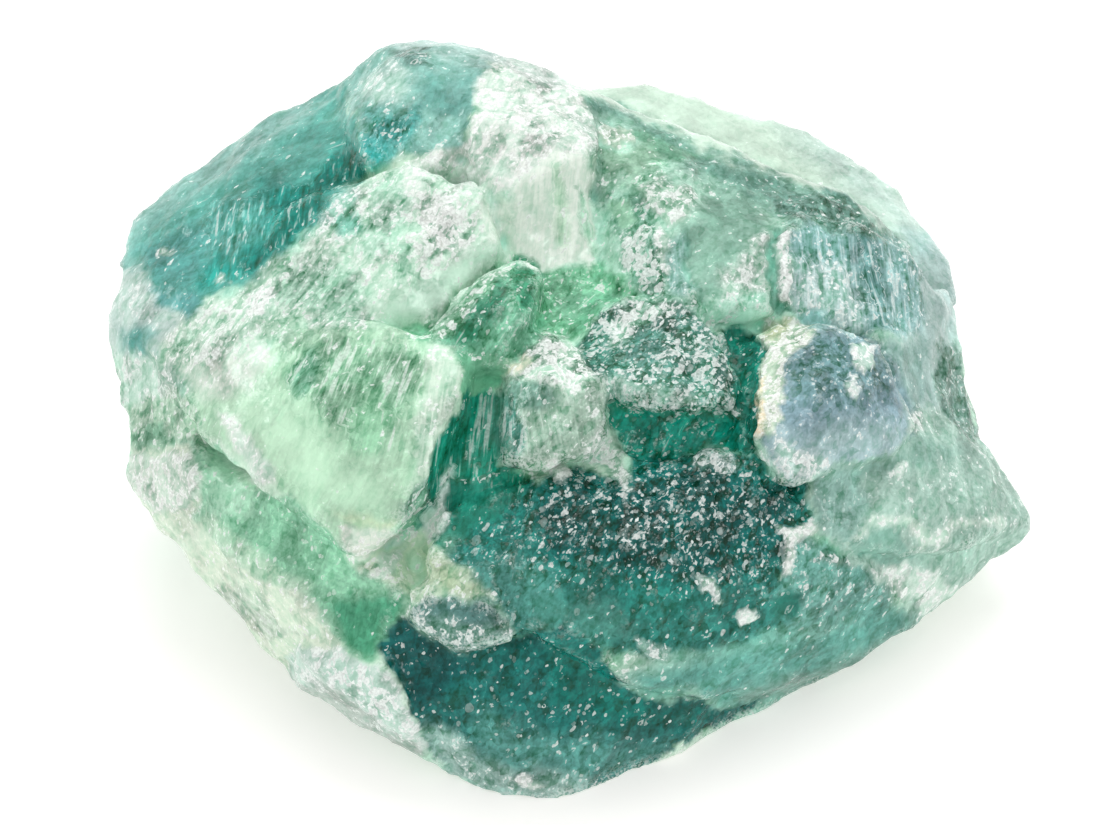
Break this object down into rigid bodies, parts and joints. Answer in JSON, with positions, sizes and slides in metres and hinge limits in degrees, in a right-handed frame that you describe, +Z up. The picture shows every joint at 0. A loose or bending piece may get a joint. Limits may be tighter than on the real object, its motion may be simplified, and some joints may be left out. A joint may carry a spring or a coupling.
{
  "type": "fluorite specimen",
  "caption": "Rough chunk of translucent green fluorite, broken on all sides into cleavage blocks, ledges and chips, that rests on a flat fracture face as a display or study stone.",
  "frame": {"origin": "middle of the stone's bounding box, at the level of the broken face it rests on", "axes": "+X along the stone's longest extent, towards the pointed end; +Z up; the face with the tooth and the mint block looks towards -Y"},
  "size_m": [0.0798, 0.0638, 0.0395],
  "materials": {
    "fluorite": "translucent, frosted and broken, from mint green to dark teal"
  },
  "bodies": {
    "root": {"fluorite": "fluorite"}
  },
  "joints": []
}
